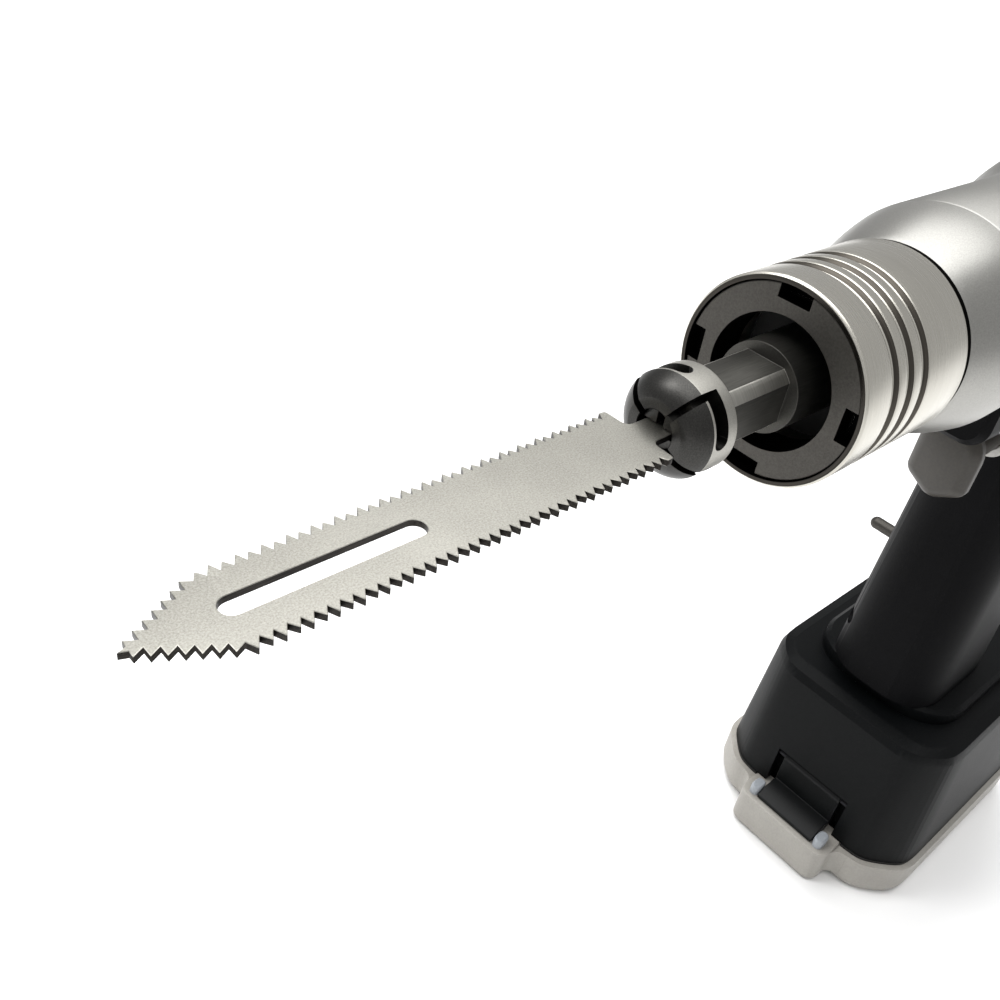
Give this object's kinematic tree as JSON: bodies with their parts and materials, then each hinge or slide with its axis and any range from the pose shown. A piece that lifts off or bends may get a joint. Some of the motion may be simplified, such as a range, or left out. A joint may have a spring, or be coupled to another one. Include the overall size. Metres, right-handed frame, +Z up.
{
  "type": "sternum saw",
  "caption": "Battery sternum saw: double-edged reciprocating blade, quick chuck, ribbed collar, silver barrel, pistol grip, battery foot with a hinged lid.",
  "frame": {"origin": "middle of the battery case's footprint, on the flat underside of the base lid", "axes": "+Z up; -X along the tool axis towards the blade's tip; +Y to the side of the safety pin"},
  "size_m": [0.3022, 0.071, 0.2285],
  "materials": {
    "blade_steel": "blasted stainless, cut flanks",
    "dark_steel": "satin hardened steel",
    "bright_steel": "ground steel",
    "collar_steel": "turned stainless",
    "nut_steel": "turned, dark grey",
    "blasted_aluminium": "bead-blasted, clear anodised",
    "cast_aluminium": "as cast",
    "bronze": "sintered",
    "brass": "plated strip",
    "magnet": "ferrite",
    "seal_rubber": "moulded",
    "grip_plastic": "moulded, fine satin grain",
    "trigger_plastic": "moulded, taupe grey",
    "bush_plastic": "moulded, light grey",
    "lid_plastic": "moulded, warm grey",
    "inner_plastic": "moulded",
    "board": "laminate with solder mask",
    "cell_sleeve": "steel cell in a shrink sleeve"
  },
  "bodies": {
    "root": {"ring_nut": "nut_steel", "collar_spring": "bright_steel", "nose_housing": "blasted_aluminium", "front_seal": "seal_rubber", "front_bush": "bronze", "main_barrel": "blasted_aluminium", "gear_frame": "cast_aluminium", "rear_bush": "bronze", "crank_bearing": "bright_steel", "motor_magnets": "magnet", "motor_can": "bright_steel", "motor_end_bell": "inner_plastic", "frame_screws": "bright_steel", "rear_cap": "blasted_aluminium", "cap_seal": "seal_rubber", "cap_screws": "dark_steel", "grip_left": "grip_plastic", "grip_right": "grip_plastic", "grip_screws": "dark_steel", "saddle_pins": "bright_steel", "trigger_bush": "bush_plastic", "trigger_spring": "bright_steel", "speed_switch": "inner_plastic", "control_board": "board", "battery_case": "grip_plastic", "case_screws": "bright_steel", "case_contacts": "brass", "pack_tray": "inner_plastic", "pack_cover": "inner_plastic", "battery_cells": "cell_sleeve", "pack_contacts": "brass", "hinge_pin": "bright_steel", "latch_pin": "bright_steel", "latch_spring": "bright_steel"},
    "crank": {"crank_gear": "dark_steel", "crank_roller": "bronze"},
    "shaft": {"drive_shaft": "dark_steel", "blade_holder": "dark_steel", "sleeve_clip": "bright_steel", "saw_blade": "blade_steel"},
    "rotor": {"rotor_shaft": "bright_steel", "rotor_core": "dark_steel", "bevel_pinion": "dark_steel"},
    "sleeve": {"chuck_sleeve": "dark_steel"},
    "collar": {"guide_collar": "collar_steel"},
    "trigger": {"trigger": "trigger_plastic"},
    "safety": {"safety_pin": "bright_steel"},
    "lid": {"base_lid": "lid_plastic", "lid_seal": "seal_rubber"},
    "latch": {"latch_tongue": "grip_plastic"}
  },
  "joints": [
    {"name": "crank_turn", "type": "hinge", "parent": "root", "child": "crank", "pos_m": [-0.078, 0, 0.205], "axis": [0, 0, 1], "range_deg": [-90.5, 90.5]},
    {"name": "shaft_slide", "type": "slide", "parent": "root", "child": "shaft", "axis": [1, 0, 0], "range_m": [-0.00175, 0.00175]},
    {"name": "rotor_turn", "type": "hinge", "parent": "root", "child": "rotor", "pos_m": [-0.03, 0, 0.205], "axis": [1, 0, 0], "range_deg": [-270.5, 270.5]},
    {"name": "sleeve_turn", "type": "hinge", "parent": "shaft", "child": "sleeve", "pos_m": [-0.173, 0, 0.205], "axis": [1, 0, 0], "range_deg": [0, 40]},
    {"name": "collar_turn", "type": "hinge", "parent": "root", "child": "collar", "pos_m": [-0.138, 0, 0.205], "axis": [1, 0, 0], "range_deg": [0, 30]},
    {"name": "trigger_press", "type": "slide", "parent": "root", "child": "trigger", "axis": [1, 0, 0], "range_m": [0, 0.006], "stiffness_N_per_m": 300, "springref_m": -0.002, "deforming": ["trigger_spring"]},
    {"name": "safety_push", "type": "slide", "parent": "root", "child": "safety", "axis": [0, -1, 0], "range_m": [0, 0.006]},
    {"name": "lid_open", "type": "hinge", "parent": "root", "child": "lid", "pos_m": [0.049, 0, 0.0153], "axis": [0, -1, 0], "range_deg": [0, 95]},
    {"name": "latch_swing", "type": "hinge", "parent": "root", "child": "latch", "pos_m": [-0.042, 0, 0.0276], "axis": [0, 1, 0], "range_deg": [0, 12], "stiffness_Nm_per_rad": 0.005, "springref_deg": -11.46}
  ],
  "couplings": [
    {"joint": "crank_turn", "follows": "shaft_slide", "rad_per_m": 897.6},
    {"joint": "rotor_turn", "follows": "shaft_slide", "rad_per_m": 2692.8}
  ]
}
